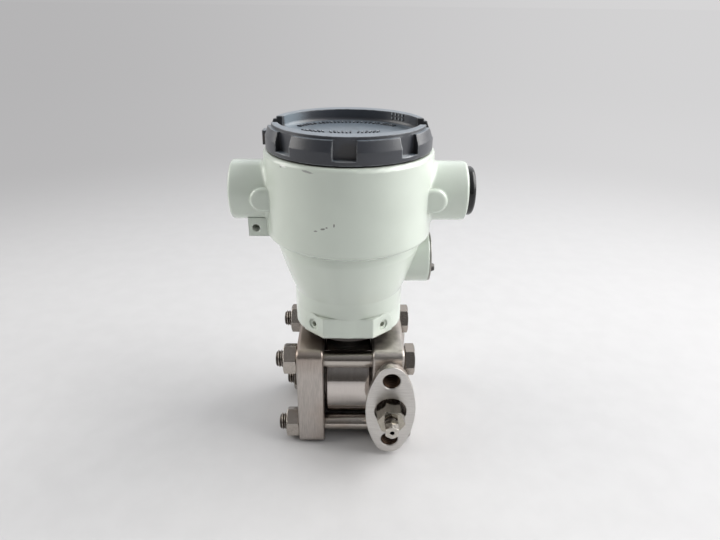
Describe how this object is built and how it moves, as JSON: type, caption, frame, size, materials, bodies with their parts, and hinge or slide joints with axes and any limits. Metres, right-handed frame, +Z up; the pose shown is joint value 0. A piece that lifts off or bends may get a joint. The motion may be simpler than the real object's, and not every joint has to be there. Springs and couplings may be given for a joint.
{
  "type": "pressure transmitter",
  "caption": "Pressure transmitter: round cast housing with screwed cover and side conduit entries on a capsule bolted between a process flange with oval ports and a plain flange.",
  "frame": {"origin": "centre of the mouth of the rear process port, on the floor of its gasket recess", "axes": "+Y out of the rear process port, +Z up along the housing, +X towards the plugged conduit entry"},
  "size_m": [0.1309, 0.1054, 0.1887],
  "materials": {
    "flange_steel": "cast stainless steel, faces machined, satin",
    "bolt_steel": "turned stainless steel",
    "capsule_steel": "turned stainless steel, bright",
    "vent_steel": "turned stainless steel",
    "seal_rubber": "moulded black rubber",
    "housing_paint": "cast aluminium, pale grey-green gloss paint",
    "screw_steel": "plain steel screws",
    "plate_steel": "pressed steel sheet",
    "plate_screw_steel": "steel, browned",
    "adjuster_brass": "turned brass",
    "plug_plastic": "moulded black plastic",
    "cover_paint": "cast aluminium, charcoal satin paint",
    "block_plastic": "moulded dark plastic",
    "board_laminate": "green laminate",
    "lead_plastic": "flat ribbon lead"
  },
  "bodies": {
    "sensor": {"process_flange": "flange_steel", "reference_flange": "flange_steel", "flange_bolts": "bolt_steel", "flange_nuts": "bolt_steel", "capsule_body": "capsule_steel", "process_diaphragm": "capsule_steel", "reference_diaphragm": "capsule_steel", "process_seal": "seal_rubber", "reference_seal": "seal_rubber", "neck_seal": "seal_rubber", "sensor_header": "capsule_steel", "vent_valve_body": "vent_steel"},
    "vent_ball": {"vent_ball": "vent_steel"},
    "vent_screw": {"vent_screw": "vent_steel"},
    "housing": {"housing": "housing_paint", "neck_set_screws": "screw_steel", "plate_screw": "plate_screw_steel", "terminal_block": "block_plastic", "terminal_screws": "adjuster_brass", "block_screws": "screw_steel", "amplifier_board": "board_laminate", "board_posts": "adjuster_brass", "board_screws": "screw_steel", "sensor_lead": "lead_plastic"},
    "plate": {"adjust_plate": "plate_steel"},
    "adjuster": {"adjuster": "adjuster_brass"},
    "plug": {"conduit_plug": "plug_plastic"},
    "cover_ring": {"cover_seal": "seal_rubber"},
    "cover": {"cover": "cover_paint"}
  },
  "joints": [
    {"name": "housing_swivel", "type": "hinge", "parent": "sensor", "child": "housing", "pos_m": [-0.0245, -0.039, 0.05], "axis": [0, 0, 1], "range_deg": [-180, 180]},
    {"name": "cover_lift", "type": "slide", "parent": "housing", "child": "cover_ring", "axis": [0, 0, 1], "range_m": [0, 0.0125]},
    {"name": "cover_turn", "type": "hinge", "parent": "cover_ring", "child": "cover", "pos_m": [-0.0245, -0.039, 0.1432], "axis": [0, 0, 1], "range_deg": [0, 2160]},
    {"name": "plug_pull", "type": "slide", "parent": "housing", "child": "plug", "axis": [1, 0, 0], "range_m": [0, 0.014]},
    {"name": "plate_swing", "type": "hinge", "parent": "housing", "child": "plate", "pos_m": [0.0213, -0.041, 0.0728], "axis": [1, 0, 0], "range_deg": [-180, 180]},
    {"name": "zero_turn", "type": "hinge", "parent": "housing", "child": "adjuster", "pos_m": [0.0195, -0.039, 0.0872], "axis": [1, 0, 0], "range_deg": [-150, 150]},
    {"name": "vent_lift", "type": "slide", "parent": "sensor", "child": "vent_ball", "axis": [0, -1, 0], "range_m": [0, 0.002]},
    {"name": "vent_turn", "type": "hinge", "parent": "vent_ball", "child": "vent_screw", "pos_m": [0, -0.091, 0], "axis": [0, -1, 0], "range_deg": [0, 722]}
  ],
  "couplings": [
    {"joint": "cover_lift", "follows": "cover_turn", "m_per_rad": 0.00031831},
    {"joint": "vent_turn", "follows": "vent_lift", "rad_per_m": 6283.2}
  ]
}
